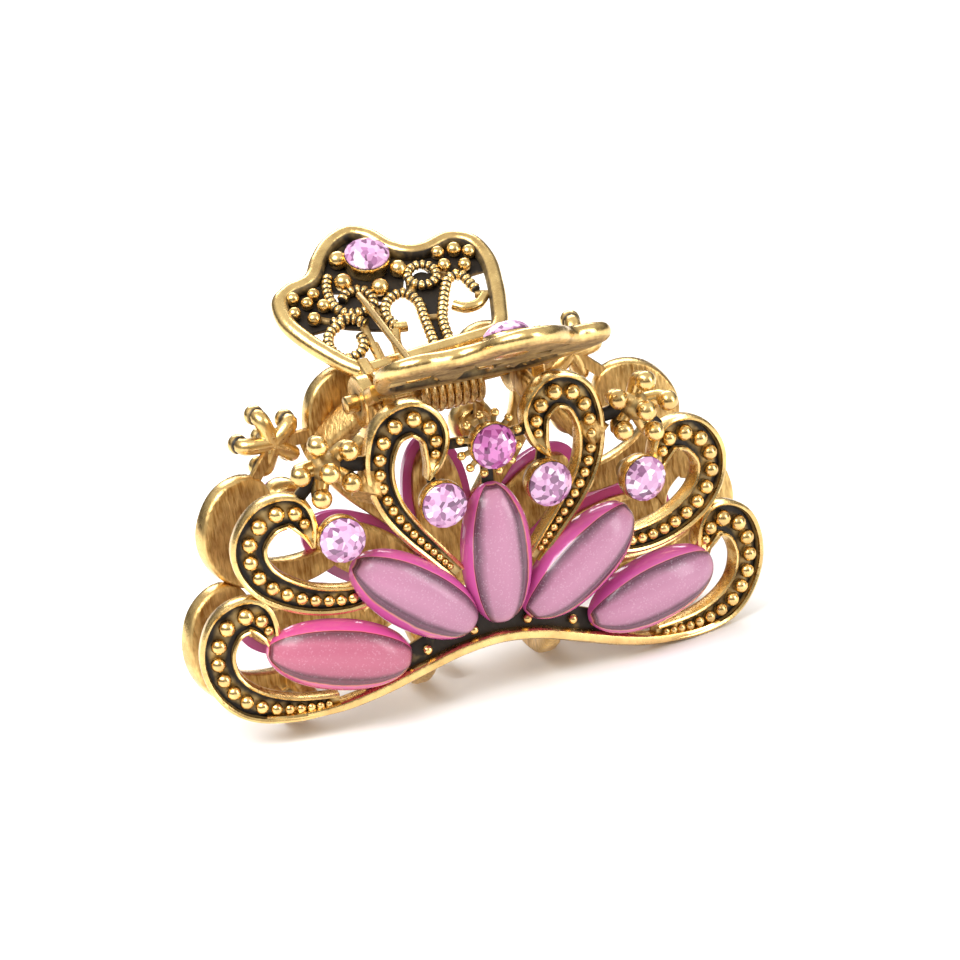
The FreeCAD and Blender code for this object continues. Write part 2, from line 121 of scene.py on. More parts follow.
world = bpy.data.worlds.new("studio")
bpy.context.scene.world = world
world.use_nodes = True
tree = world.node_tree
tree.nodes.clear()
seen = add_node(tree, "LightPath").outputs["Is Camera Ray"]
direction = add_node(tree, "TexCoord").outputs["Generated"]
height = add_node(tree, "SeparateXYZ", Vector=direction).outputs["Z"]
walls = add_node(tree, "ValToRGB", Fac=add_node(tree, "MapRange", Value=height, From_Min=-0.3, From_Max=1.0).outputs[0])
walls.color_ramp.elements[0].color = (0.40, 0.38, 0.36, 1)
walls.color_ramp.elements[0].position = 0.1
walls.color_ramp.elements[1].color = (1.0, 1.0, 1.0, 1)
walls.color_ramp.elements[1].position = 0.75
dim = walls.color_ramp.elements.new(0.36)
dim.color = (0.10, 0.095, 0.09, 1)
lit = add_node(tree, "Background", Color=walls.outputs["Color"], Strength=0.85)
shown = add_node(tree, "Background", Color=(1, 1, 1, 1), Strength=1.0)
mixed = add_node(tree, "MixShader", Fac=seen, i1=lit.outputs[0], i2=shown.outputs[0])
add_node(tree, "OutputWorld", Surface=mixed.outputs[0])

bm = bmesh.new()
bmesh.ops.create_grid(bm, x_segments=1, y_segments=1, size=1.2)
floor_mesh = bpy.data.meshes.new("table")
bm.to_mesh(floor_mesh)
bm.free()
floor = bpy.data.objects.new("table", floor_mesh)
bpy.context.scene.collection.objects.link(floor)
table_paint = bpy.data.materials.new("white_table")
table_paint.use_nodes = True
table_shader = table_paint.node_tree.nodes["Principled BSDF"]
table_shader.inputs["Base Color"].default_value = (0.93, 0.93, 0.93, 1)
table_shader.inputs["Roughness"].default_value = 0.6
floor.data.materials.append(table_paint)
bpy.context.scene.view_settings.view_transform = "Standard"

# ---- Scroll faces of the two jaws ----
# Each jaw is one zinc casting plated antique gold. Its face is six scrolls with raised, rubbed rims
# and a blackened channel between them, three a side. The back is brushed. Face and lever are cast
# a few degrees askew of the hinge pin, and a little to the right of its middle.
HINGE_Z = frame["joints"][0]["pos_m"][2] / MM
FOOT_TO_PIN = 28.0
ABOUT_PIN = Matrix.Translation((0, 0, HINGE_Z))
JAW_SHIFT = 0.45
ASKEW = Matrix.Translation((JAW_SHIFT, 0, 0)) @ ABOUT_PIN @ Matrix.Rotation(math.radians(3), 4, "Y") @ ABOUT_PIN.inverted()
FACE_RADIUS = 110.0
FACE_FRONT = 8.7
FACE_DEPTH = 1.8


def smooth(points, step, closed=False, axes=2):
    """Points evenly spaced by about step along a smooth curve through given ones. Only the first axes count as length.
    """
    count = len(points)
    dense = []
    spans = count if closed else count - 1
    for span in range(spans):
        a, b, c, d = [points[(span + k) % count] if closed else points[min(max(span + k, 0), count - 1)]
                      for k in (-1, 0, 1, 2)]
        for part in range(16):
            t = part / 16
            dense.append([0.5 * (2 * q + (r - p) * t + (2 * p - 5 * q + 4 * r - s) * t * t
                                 + (3 * q - p - 3 * r + s) * t ** 3) for p, q, r, s in zip(a, b, c, d)])
    dense.append(list(points[0] if closed else points[-1]))
    travelled = [0.0]
    for before, after in zip(dense, dense[1:]):
        travelled.append(travelled[-1] + math.dist(before[:axes], after[:axes]))
    total = max(2, round(travelled[-1] / step))
    spaced = []
    at = 0
    for index in range(total if closed else total + 1):
        goal = travelled[-1] * index / total
        while at < len(travelled) - 2 and travelled[at + 1] < goal:
            at += 1
        share = (goal - travelled[at]) / max(travelled[at + 1] - travelled[at], 1e-9)
        spaced.append([p + (q - p) * share for p, q in zip(dense[at], dense[at + 1])])
    return spaced


def new_bmesh():
    """An empty mesh whose points carry how black the plating is there, with patina in hollows and painted shade on
    undersides, and how brushed it is.
    """
    bm = bmesh.new()
    bm.verts.layers.float.new("patina_and_shade")
    bm.verts.layers.float.new("brushed")
    return bm


def paint(bm, verts, patina_and_shade=0.0, brushed=0.0):
    for vert in verts:
        vert[bm.verts.layers.float["patina_and_shade"]] = patina_and_shade
        vert[bm.verts.layers.float["brushed"]] = brushed


def skin(bm, rings, closed=False):
    """Extrude the first ring to each of the next. A ring is a list of (place, blackening by patina and painted shade,
    brushed).
    """
    loop = [bm.verts.new(place) for place, _, _ in rings[0]]
    for vert, (_, patina_and_shade, brushed) in zip(loop, rings[0]):
        paint(bm, [vert], patina_and_shade, brushed)
    first = loop
    edges = [bm.edges.new(pair) for pair in zip(loop, loop[1:] + loop[:1])]
    run = rings[1:] + rings[:1] if closed else rings[1:]
    for ring in run:
        made = bmesh.ops.extrude_edge_only(bm, edges=edges)["geom"]
        fresh = {item for item in made if isinstance(item, bmesh.types.BMVert)}
        loop = [next(e.other_vert(v) for e in v.link_edges if e.other_vert(v) in fresh) for v in loop]
        edges = [item for item in made if isinstance(item, bmesh.types.BMEdge) and set(item.verts) <= fresh]
        for vert, (place, patina_and_shade, brushed) in zip(loop, ring):
            vert.co = place
            paint(bm, [vert], patina_and_shade, brushed)
    if closed:
        bmesh.ops.remove_doubles(bm, verts=first + loop, dist=1e-4)
    else:
        bm.faces.new(first)
        bm.faces.new(loop)


def on_face(x, z, lift=0.0):
    """A point of the curved front face, lift millimetres out from it."""
    angle = math.asin(x / FACE_RADIUS)
    reach = FACE_RADIUS + lift
    y = FACE_RADIUS - FACE_FRONT - reach * math.cos(angle)
    return ASKEW @ Vector((reach * math.sin(angle), y, z + HINGE_Z - FOOT_TO_PIN))


def out_of_face(x):
    angle = math.asin(x / FACE_RADIUS)
    return ASKEW.to_3x3() @ Vector((math.sin(angle), -math.cos(angle), 0))


def half_turned(mesh):
    """The same piece for the rear jaw."""
    copy = mesh.copy()
    copy.transform(Matrix.Rotation(math.pi, 4, "Z"))
    return copy


def fit(bm, name, material, replaces="", crease=40, doubles=1e-5, jaws=("front", "rear")):
    """Close a mesh made in millimetres, and hang one copy on each jaw."""
    if doubles:
        bmesh.ops.remove_doubles(bm, verts=bm.verts, dist=doubles)
    bmesh.ops.recalc_face_normals(bm, faces=bm.faces)
    bmesh.ops.scale(bm, vec=(MM, MM, MM), verts=bm.verts)
    mesh = bpy.data.meshes.new(name)
    bm.to_mesh(mesh)
    bm.free()
    mesh.materials.append(material)
    mesh.shade_smooth()
    mesh.set_sharp_from_angle(angle=math.radians(crease))
    made = []
    for jaw in jaws:
        piece = bpy.data.objects.new(jaw + "_" + name, mesh if jaw == "front" else half_turned(mesh))
        bpy.context.scene.collection.objects.link(piece)
        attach(piece, jaw + "_jaw")
        if replaces:
            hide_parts(jaw + "_" + replaces)
        made.append(piece)
    return made


def antique_finish():
    """Node group of plated, blackened and rubbed casting: colour, roughness, metallic and height."""
    group = bpy.data.node_groups.new("antique_finish", "ShaderNodeTree")
    for label, kind, value in (("Rubbed", "NodeSocketColor", (1, 0.8, 0.4, 1)), ("Deep", "NodeSocketColor", (0.5, 0.3, 0.1, 1)),
                               ("Patina", "NodeSocketColor", (0.03, 0.02, 0.01, 1)), ("Patina_and_shade", "NodeSocketFloat", 0.0),
                               ("Brushed", "NodeSocketFloat", 0.0)):
        group.interface.new_socket(name=label, in_out="INPUT", socket_type=kind).default_value = value
    for label, kind in (("Color", "NodeSocketColor"), ("Roughness", "NodeSocketFloat"), ("Metallic", "NodeSocketFloat"),
                        ("Height", "NodeSocketFloat")):
        group.interface.new_socket(name=label, in_out="OUTPUT", socket_type=kind)
    given = group.nodes.new("NodeGroupInput").outputs
    place = add_node(group, "TexCoord").outputs["Object"]
    cloud = add_node(group, "TexNoise", Vector=place, Scale=420.0, Detail=3.0, Roughness=0.6).outputs["Fac"]
    grain = add_node(group, "TexNoise", Vector=place, Scale=2600.0, Detail=2.0).outputs["Fac"]
    slanted = add_node(group, "Mapping", Vector=place, Rotation=(0.3, 0.75, 0.0), Scale=(3400.0, 3400.0, 620.0))
    stroke = add_node(group, "TexNoise", Vector=slanted.outputs[0], Scale=1.0, Detail=3.0, Distortion=0.4).outputs["Fac"]
    patches = add_node(group, "MapRange", Value=cloud, From_Min=0.38, From_Max=0.66).outputs[0]
    strokes = add_node(group, "MapRange", Value=stroke, From_Min=0.36, From_Max=0.64).outputs[0]
    worn = add_node(group, "Math", i0=patches, i1=0.42)
    worn.operation = "MULTIPLY"
    brushing = add_node(group, "Math", i0=given["Brushed"], i1=add_node(group, "MapRange", Value=strokes, To_Min=0.12, To_Max=0.62).outputs[0])
    brushing.operation = "MULTIPLY"
    tone = add_node(group, "Math", i0=worn.outputs[0], i1=brushing.outputs[0])
    tone.operation = "ADD"
    metal = add_node(group, "Mix", i0=tone.outputs[0], i6=given["Rubbed"], i7=given["Deep"])
    metal.data_type = "RGBA"
    spread = add_node(group, "Math", i0=cloud, i1=0.5, i2=-0.25)
    spread.operation = "MULTIPLY_ADD"
    # The blackening input carries patina in hollows and painted shade on undersides; both mix towards the patina colour
    # here.
    black = add_node(group, "Math", i0=given["Patina_and_shade"], i1=spread.outputs[0])
    black.operation = "ADD"
    masked = add_node(group, "MapRange", Value=black.outputs[0], From_Min=0.3, From_Max=0.75).outputs[0]
    colour = add_node(group, "Mix", i0=masked, i6=metal.outputs[2], i7=given["Patina"])
    colour.data_type = "RGBA"
    gloss = add_node(group, "MapRange", Value=grain, To_Min=0.16, To_Max=0.34).outputs[0]
    dull = add_node(group, "Math", i0=given["Brushed"], i1=0.16, i2=gloss)
    dull.operation = "MULTIPLY_ADD"
    rough = add_node(group, "Math", i0=masked, i1=0.3, i2=dull.outputs[0])
    rough.operation = "MULTIPLY_ADD"
    metallic = add_node(group, "MapRange", Value=masked, To_Min=1.0, To_Max=0.35).outputs[0]
    scratch = add_node(group, "Math", i0=brushing.outputs[0], i1=1.0, i2=cloud)
    scratch.operation = "MULTIPLY_ADD"
    relief = add_node(group, "Math", i0=grain, i1=0.3, i2=scratch.outputs[0])
    relief.operation = "MULTIPLY_ADD"
    result = group.nodes.new("NodeGroupOutput").inputs
    for label, socket in (("Color", colour.outputs[2]), ("Roughness", rough.outputs[0]), ("Metallic", metallic),
                          ("Height", relief.outputs[0])):
        group.links.new(socket, result[label])
    return group


ANTIQUE = antique_finish()


def plated(name, rubbed, deep, bump):
    """An antique plated metal. Points of the mesh say where it is blackened by patina, where by painted shade, and
    where it is brushed.
    """
    material = bpy.data.materials.new(name)
    material.use_nodes = True
    tree = material.node_tree
    shader = tree.nodes["Principled BSDF"]
    finish = tree.nodes.new("ShaderNodeGroup")
    finish.node_tree = ANTIQUE
    finish.inputs["Rubbed"].default_value = rubbed + (1,)
    finish.inputs["Deep"].default_value = deep + (1,)
    finish.inputs["Patina"].default_value = (0.018, 0.012, 0.007, 1)
    for label, source in (("Patina_and_shade", "patina_and_shade"), ("Brushed", "brushed")):
        attribute = tree.nodes.new("ShaderNodeAttribute")
        attribute.attribute_name = source
        tree.links.new(attribute.outputs["Fac"], finish.inputs[label])
    raised = add_node(tree, "Bump", Height=finish.outputs["Height"], Strength=bump, Distance=0.08 * MM)
    tree.links.new(finish.outputs["Color"], shader.inputs["Base Color"])
    tree.links.new(finish.outputs["Roughness"], shader.inputs["Roughness"])
    tree.links.new(finish.outputs["Metallic"], shader.inputs["Metallic"])
    tree.links.new(raised.outputs[0], shader.inputs["Normal"])
    return material


GOLD = plated("antique_gold", (0.90, 0.63, 0.25), (0.30, 0.145, 0.035), 0.6)

# Outlines on the face, in millimetres: x, z and half-width along the middle of each band, right-hand side.
SCROLLS = {
    "bottom": [(21.6, 7.2, 0.2), (21.75, 9.3, 0.95), (23.2, 11.3, 1.7), (25.6, 10.4, 1.75), (26.7, 7.6, 1.65),
               (26.0, 4.7, 1.6), (23.8, 2.6, 1.6), (20.2, 1.7, 1.25), (16.0, 1.75, 0.9)],
    "middle": [(17.2, 17.1, 0.2), (17.5, 18.8, 0.95), (18.8, 20.7, 1.6), (21.2, 20.4, 1.75), (22.9, 18.2, 1.7),
               (22.8, 15.8, 1.65), (21.2, 13.7, 1.6), (18.0, 12.1, 1.45), (14.4, 11.6, 1.3), (11.0, 12.2, 1.1)],
    "top": [(6.0, 21.8, 0.2), (5.2, 23.6, 0.95), (5.1, 26.1, 1.5), (6.9, 27.8, 1.75), (9.2, 27.1, 1.7),
            (10.3, 24.8, 1.5), (10.4, 22.2, 1.35), (9.6, 19.6, 1.25), (7.9, 17.0, 1.15), (5.6, 14.3, 1.0),
            (3.8, 12.2, 0.9)]}
RIM_OUTER = 0.55
RIM_INNER = 0.42
CHANNEL = 0.7                 # how deep the blackened channel is


def band_section(half, outer):
    """Across a scroll band: (offset, lift, recess, brushed), outer rim on the outer side. The channel closes up at the tip."""
    wide = min(RIM_OUTER, half * 0.9)
    slim = min(RIM_INNER, half * 0.9)
    nick = 0.07 * min(1.0, half / 1.3)
    open_share = min(1.0, max(0.0, (half - 0.55) / 0.5))
    floor_lift = -CHANNEL * open_share - 0.05
    rows = [(half - 0.55 * wide, -FACE_DEPTH + 0.03, 0.0, 1), (half - 0.15 * wide, -FACE_DEPTH + 0.22, 0.0, 0.7),
            (half, -FACE_DEPTH + 0.55, 0.0, 0.2), (half, -0.3, 0.0, 0.0),
            (half - nick, -0.07, 0.0, 0.0), (half - wide / 2, 0.04, 0.0, 0.0), (half - wide + nick, -0.08, 0.05, 0.0),
            (half - wide, floor_lift * 0.5, 0.5 * open_share, 0.0), (half - wide - nick, floor_lift, 0.85 * open_share, 0.0),
            (half * 0.3, floor_lift, 0.62 * open_share, 0.0), (-half * 0.3, floor_lift, 0.62 * open_share, 0.0),
            (slim + nick - half, floor_lift, 0.85 * open_share, 0.0), (slim - half, floor_lift * 0.5, 0.5 * open_share, 0.0),
            (slim - nick - half, -0.08, 0.05, 0.0), (slim / 2 - half, 0.02, 0.0, 0.0), (nick - half, -0.07, 0.0, 0.0),
            (-half, -0.3, 0.0, 0.0), (-half, -FACE_DEPTH + 0.55, 0.0, 0.2), (0.15 * slim - half, -FACE_DEPTH + 0.22, 0.0, 0.7),
            (0.55 * slim - half, -FACE_DEPTH + 0.03, 0.0, 1), (0.0, -FACE_DEPTH, 0.05, 1)]
    return [(offset * outer, lift, patina_and_shade, brushed) for offset, lift, patina_and_shade, brushed in rows]


def flat_stations(path, closed=False):
    """(x, z, half-width, across) at each point of a path drawn flat."""
    count = len(path)
    stations = []
    for index, (x, z, half) in enumerate(path):
        before = path[(index - 1) % count] if closed or index else path[0]
        after = path[(index + 1) % count] if closed or index < count - 1 else path[-1]
        along = math.dist(before[:2], after[:2])
        stations.append((x, z, half, ((before[1] - after[1]) / along, (after[0] - before[0]) / along)))
    return stations


def face_band(bm, path, section):
    rings = []
    for x, z, half, (ax, az) in flat_stations(path):
        rings.append([(on_face(x + ax * offset, z + az * offset, lift), patina_and_shade, brushed)
                      for offset, lift, patina_and_shade, brushed in section(half)])
    skin(bm, rings)


def mirrored(path):
    return [(-x, z, half) for x, z, half in path]


bm = new_bmesh()
for outline in SCROLLS.values():
    path = smooth(outline, 0.35)
    face_band(bm, path, lambda half: band_section(half, 1))
    face_band(bm, mirrored(path), lambda half: band_section(half, -1))
fit(bm, "scrolls", GOLD, replaces="jaw_casting")

# The polished bar along the foot of the face runs into the outer rims of the bottom scrolls.
# Above it is a web, and short lugs tie scrolls, cups and flowers together behind.
FOOT = [(-22.8, 1.2, 0.2), (-20.0, 0.95, 0.4), (-16.0, 1.25, 0.55), (-12.0, 2.2, 0.6), (-8.0, 3.5, 0.6), (-4.0, 4.7, 0.6), (0.0, 5.2, 0.6),
        (4.0, 4.7, 0.6), (8.0, 3.5, 0.6), (12.0, 2.2, 0.6), (16.0, 1.25, 0.55), (20.0, 0.95, 0.4), (22.8, 1.2, 0.2)]


def bar_section(half):
    rows = [(0.0, 0.12), (0.6, 0.02), (0.95, -0.3), (1.0, -0.8), (0.9, -1.5), (0.0, -1.8), (-0.9, -1.5), (-1.0, -0.8),
            (-0.95, -0.3), (-0.6, 0.02)]
    sink = 0.3 * (1 - min(1.0, half / 0.55))
    return [(half * offset, lift - sink, 0.0, 1.0 if lift < -1 else 0.0) for offset, lift in rows]


def web_section(half):
    rows = [(0.6, -0.78), (0.95, -0.95), (1, -1.25), (0.85, -1.55), (-0.85, -1.55), (-1, -1.25), (-0.95, -0.95), (-0.6, -0.78)]
    return [(half * offset, lift, 0.8 if lift > -1.2 else 0.2, 1.0 if lift < -1.2 else 0.3) for offset, lift in rows]


bm = new_bmesh()
face_band(bm, smooth(FOOT, 0.5), bar_section)
face_band(bm, smooth([(-13.5, 3.0, 0.9), (-8.0, 4.9, 1.3), (0.0, 7.0, 2.2), (8.0, 4.9, 1.3), (13.5, 3.0, 0.9)], 0.8), web_section)
LUGS = [((0.0, 8.0), (0.0, 18.0), 1.0), ((4.5, 6.0), (8.2, 11.0), 1.2), ((10.0, 4.2), (15.6, 6.4), 1.2),
        ((15.6, 6.4), (21.6, 7.6), 0.6), ((0.0, 18.5), (0.0, 24.4), 0.6), ((0.0, 24.4), (4.8, 24.6), 0.5),
        ((5.05, 19.7), (5.7, 22.3), 0.45), ((14.5, 18.0), (17.6, 18.2), 0.5),
        ((15.4, 24.5), (18.6, 21.2), 0.6), ((15.4, 24.5), (10.5, 24.0), 0.7), ((8.2, 11.0), (14.0, 12.0), 0.8)]
for (xa, za), (xb, zb), half in LUGS:
    for side in ((1, -1) if xa or xb else (1,)):
        face_band(bm, [(side * (xa + (xb - xa) * k / 4), za + (zb - za) * k / 4, half) for k in range(5)], web_section)
fit(bm, "foot_and_web", GOLD)

# ---- Beads in the channels ----
# Cast beads run along each channel, big in the head of the scroll and smaller down its tail.
# The rubbing leaves them bright, with black only where they meet the channel.
def bead(bm, centre, outward, radius, around=10, rows=7):
    """A ball seen from outward, black in a narrow ring at its foot."""
    turn = outward.to_track_quat("Z", "Y").to_matrix().to_4x4()
    made = bmesh.ops.create_uvsphere(bm, u_segments=around, v_segments=rows, radius=radius,
                                     matrix=Matrix.Translation(centre) @ turn)["verts"]
    for vert in made:
        rise = (vert.co - centre).dot(outward) / radius
        paint(bm, [vert], max(0.0, 1.0 - abs(rise + 0.58) / 0.4), 0.0)


bm = new_bmesh()
for outline in SCROLLS.values():
    path = smooth(outline, 0.05)
    at = 50
    while at < len(path) - 12:
        x, z, half = path[at]
        radius = 0.54 * (half - 0.12) * (1.0 - 0.2 * at / len(path))
        if radius > 0.2:
            for side in (-1, 1):
                bead(bm, on_face(side * x, z, 0.3 * radius - 0.55), out_of_face(side * x), radius)
        at += max(8, round((2.45 - 0.55 * at / len(path)) * radius / 0.05))
for x, z, radius in ((2.7, 6.4, 0.5), (4.3, 7.0, 0.4), (7.3, 5.3, 0.5), (9.4, 4.5, 0.4), (11.2, 3.9, 0.45), (12.9, 3.4, 0.4), (11.6, 7.9, 0.5)):
    for side in (-1, 1):
        bead(bm, on_face(side * x, z, -0.55), out_of_face(side * x), radius)
fit(bm, "beads", GOLD, crease=80)

# ---- Six-ball flowers ----
# A ball in the middle and five on stubby fingers round it, cast with the face beside each top scroll.
FLOWER = (15.4, 24.5)
FLOWER_SPREAD = 2.65


def rod(bm, path, sides=10, patina_and_shade=0.0, brushed=0.0, groove=0.0, pitch=0.5, closed=False):
    """A round bar through (x, y, z, radius) points. With a groove it is ribbed like rope."""
    rings = []
    count = len(path)
    normal = None
    travelled = 0.0
    for index, (x, y, z, radius) in enumerate(path):
        before = Vector(path[(index - 1) % count][:3] if closed or index else path[0][:3])
        after = Vector(path[(index + 1) % count][:3] if closed or index < count - 1 else path[-1][:3])
        along = (after - before).normalized()
        if normal is None:
            normal = along.orthogonal()
        normal = (normal - along * normal.dot(along)).normalized()
        binormal = along.cross(normal)
        centre = Vector((x, y, z))
        if index:
            travelled += math.dist(path[index - 1][:3], path[index][:3])
        swell = 0.5 + 0.5 * math.cos(2 * math.pi * travelled / pitch)
        size = radius * (1 - groove * swell)
        dark = max(patina_and_shade, min(1.0, 1.5 * swell ** 3) if groove else 0.0)
        rings.append([(centre + (normal * math.cos(a) + binormal * math.sin(a)) * size, dark, brushed)
                      for a in (2 * math.pi * k / sides for k in range(sides))])
    skin(bm, rings, closed)


bm = new_bmesh()
for side in (-1, 1):
    hub = on_face(side * FLOWER[0], FLOWER[1], -0.9)
    outward = out_of_face(side * FLOWER[0])
    rod(bm, [tuple(hub + outward * lift) + (radius,) for lift, radius in ((-0.6, 1.2), (0.0, 1.5), (0.8, 1.3), (1.5, 0.7))],
        patina_and_shade=0.45, brushed=0.5)
    bead(bm, hub + outward * 2.3, outward, 1.0, 16, 11)
    for index in range(5):
        angle = math.radians(3 + 72 * index)
        sideways = Vector((side * math.cos(angle), 0, math.sin(angle)))
        ball = hub + sideways * FLOWER_SPREAD + outward * 1.5
        rod(bm, smooth([tuple(hub - outward * 0.2) + (0.75,), tuple(hub + sideways * 1.4 - outward * 0.1) + (0.8,),
                        tuple(hub + sideways * 2.5 + outward * 0.3) + (0.82,), tuple(ball - outward * 0.4) + (0.72,)],
                       0.3, axes=3), patina_and_shade=0.1, brushed=0.3)
        bead(bm, ball, outward, 0.98, 16, 11)
fit(bm, "flowers", GOLD, crease=80)

# ---- Stone cups ----
# A thin wall cast close behind each stone, open at the front, and twelve beads on stalks round the top stone.
STONE_RADIUS = 2.15


def turned(bm, profile, matrix, segments=32):
    """Spin (radius, height, blackening by patina and painted shade) points round the local Z axis, then set them in
    place.
    """
    verts = [bm.verts.new((radius, 0, height)) for radius, height, _ in profile]
    for vert, (_, _, patina_and_shade) in zip(verts, profile):
        paint(bm, [vert], patina_and_shade)
    edges = [bm.edges.new(pair) for pair in zip(verts, verts[1:])]
    made = bmesh.ops.spin(bm, geom=verts + edges, cent=(0, 0, 0), axis=(0, 0, 1), angle=2 * math.pi, steps=segments,
                          use_merge=True)
    whole = set(verts)
    stack = list(verts)
    while stack:
        for edge in stack.pop().link_edges:
            for vert in edge.verts:
                if vert not in whole:
                    whole.add(vert)
                    stack.append(vert)
    bmesh.ops.transform(bm, matrix=matrix, verts=list(whole))


def seat(node, lift):
    """Where a piece set on the face sits, turned to look out of the face."""
    low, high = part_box(node)
    upright = ASKEW.inverted() @ ((low + high) / 2 / MM)
    place = on_face(upright.x, upright.z - HINGE_Z + FOOT_TO_PIN, lift)
    turn = Matrix.Rotation(math.asin(upright.x / FACE_RADIUS), 4, "Z") @ Matrix.Rotation(math.pi / 2, 4, "X")
    return Matrix.Translation(place) @ ASKEW.to_3x3().to_4x4() @ turn


FACE_STONES = ("top_stone", "inner_stone_right", "inner_stone_left", "outer_stone_right", "outer_stone_left")
CUP = [(0.0, -2.2, 0.2), (STONE_RADIUS - 0.6, -2.2, 0.2), (STONE_RADIUS - 0.15, -1.8, 0.5), (STONE_RADIUS + 0.02, -1.2, 0.3),
       (STONE_RADIUS + 0.06, -0.5, 0.0), (STONE_RADIUS + 0.04, -0.2, 0.0), (STONE_RADIUS, -0.14, 0.3),
       (STONE_RADIUS - 0.06, -0.2, 0.8), (STONE_RADIUS * 0.5, -1.25, 1.0), (0.0, -1.7, 1.0)]
GIRDLE_LIFT = 1.5
bm = new_bmesh()
for name in FACE_STONES:
    here = seat("front_" + name, GIRDLE_LIFT)
    turned(bm, CUP, here)
    rod(bm, [tuple(here @ Vector((0, 0, height))) + (radius,) for height, radius in ((-3.6, 1.1), (-2.6, 1.0), (-1.8, 1.5))],
        patina_and_shade=0.5)
top = seat("front_top_stone", GIRDLE_LIFT)
for index in range(12):
    angle = 2 * math.pi * (index + 0.5) / 12
    inner, outer = [top @ Vector((r * math.cos(angle), r * math.sin(angle), -1.3)) for r in (1.9, 2.9)]
    rod(bm, [tuple(inner) + (0.3,), tuple(inner.lerp(outer, 0.9)) + (0.26,)], 8, patina_and_shade=0.6)
    bead(bm, outer, out_of_face(0), 0.43)
fit(bm, "stone_cups", GOLD)

# ---- Teeth, arms and hinge ears ----
# Hooked prongs under the foot hold the hair. Two flat ears ride on the pin, each on a stout arm from the face.
TOOTH_X = [-20.5 + 12.5 * index for index in range(4)]
EAR_RADIUS = 2.5
PIN_RADIUS = 0.85


def bar(bm, path, wide, brushed=1.0, patina_and_shade=0.0):
    """A round-cornered bar through (x, y, z, half-height, half-width) stations. wide is its width direction."""
    rings = []
    for index, (x, y, z, tall, broad) in enumerate(path):
        before = Vector(path[max(index - 1, 0)][:3])
        after = Vector(path[min(index + 1, len(path) - 1)][:3])
        along = (after - before).normalized()
        across = (wide - along * wide.dot(along)).normalized()
        rise = along.cross(across)
        ring = []
        for k in range(16):
            angle = 2 * math.pi * (k + 0.5) / 16
            c, s = math.cos(angle), math.sin(angle)
            ring.append((Vector((x, y, z)) + across * broad * math.copysign(abs(c) ** 0.55, c)
                         + rise * tall * math.copysign(abs(s) ** 0.55, s), patina_and_shade, brushed))
        rings.append(ring)
    skin(bm, rings)


def foot_height(x):
    """Height of the foot of the askew face above the table at x."""
    lean = math.sin(math.radians(3))
    face_x = x - JAW_SHIFT + FOOT_TO_PIN * lean
    height = 1.9
    for (xa, za, _), (xb, zb, _) in zip(FOOT[2:-2], FOOT[3:-2]):
        if xa <= face_x <= xb:
            height = za + (zb - za) * (face_x - xa) / (xb - xa)
    return height - (x - JAW_SHIFT) * lean + HINGE_Z - FOOT_TO_PIN


bm = new_bmesh()
for x in TOOTH_X:
    root_y = FACE_RADIUS - FACE_FRONT - math.sqrt(FACE_RADIUS ** 2 - x ** 2) + FACE_DEPTH / 2
    root_z = foot_height(x) + 0.2
    low_z = max(0.9, root_z * 0.5)
    hook = smooth([(x, root_y, root_z, 0.8, 0.9), (x, root_y + 1.3, (root_z + low_z) / 2, 0.85, 0.9),
                   (x, root_y + 3.4, low_z, 0.8, 0.85), (x, -1.0, low_z - 0.15, 0.7, 0.8), (x, 1.4, low_z + 0.5, 0.5, 0.6)],
                  0.5, axes=3)
    bar(bm, [(a, b, max(c, tall + 0.05), tall, broad) for a, b, c, tall, broad in hook], Vector((1, 0, 0)), 0.7)
for ear_x, side in ((-8.25, -1), (6.55, 1)):
    bar(bm, smooth([(ear_x, -0.9, HINGE_Z - 0.4, 1.4, 0.6), (ear_x, -3.3, HINGE_Z - 1.2, 1.45, 0.63),
                    ((ear_x + side * 11.6) / 2, -5.3, HINGE_Z - 3.8, 1.6, 1.0), (side * 11.6, -7.2, HINGE_Z - 6.5, 1.5, 1.35)],
                   0.4, axes=3), Vector((1, 0, 0)))
    bar(bm, [(ear_x, -0.6, HINGE_Z + 0.3, 0.9, 0.6), (ear_x, -2.4, HINGE_Z + 1.15, 0.9, 0.6), (ear_x, -4.2, HINGE_Z + 2.0, 0.8, 0.6)],
        Vector((1, 0, 0)), 0.3)
    ring = [(PIN_RADIUS + 0.06, -0.6, 0.6), (EAR_RADIUS - 0.15, -0.65, 0.1), (EAR_RADIUS, -0.5, 0.0), (EAR_RADIUS, 0.5, 0.0),
            (EAR_RADIUS - 0.15, 0.65, 0.1), (PIN_RADIUS + 0.06, 0.6, 0.6), (PIN_RADIUS + 0.06, -0.6, 0.6)]
    turned(bm, ring, Matrix.Translation((ear_x, 0, HINGE_Z)) @ Matrix.Rotation(math.pi / 2, 4, "Y"))
fit(bm, "teeth_and_arms", GOLD)

# ---- Trefoil thumb levers ----
# Each lever is cast with its jaw: a thick round rim in three lobes, black web behind the stone and the
# balls, and open rope scrolls between. It rises behind the pin, and the two lean apart.
LEVER_TILT = math.radians(25.6)
LEVER_RIM = [(-6.2, 3.3), (-7.6, 4.6), (-8.8, 6.7), (-10.1, 9.5), (-11.0, 12.7), (-10.5, 16.0), (-8.6, 17.5), (-6.4, 18.0),
             (-4.9, 20.0), (-2.8, 22.0), (-0.1, 22.8), (2.1, 21.4), (3.4, 19.0), (5.2, 17.8), (8.4, 18.3), (10.8, 16.7),
             (11.4, 13.4), (10.6, 9.5), (9.6, 6.5), (8.7, 4.4), (7.3, 3.3), (4.0, 3.2), (0.5, 3.2), (-3.0, 3.2)]
RIM_HALF = 0.84


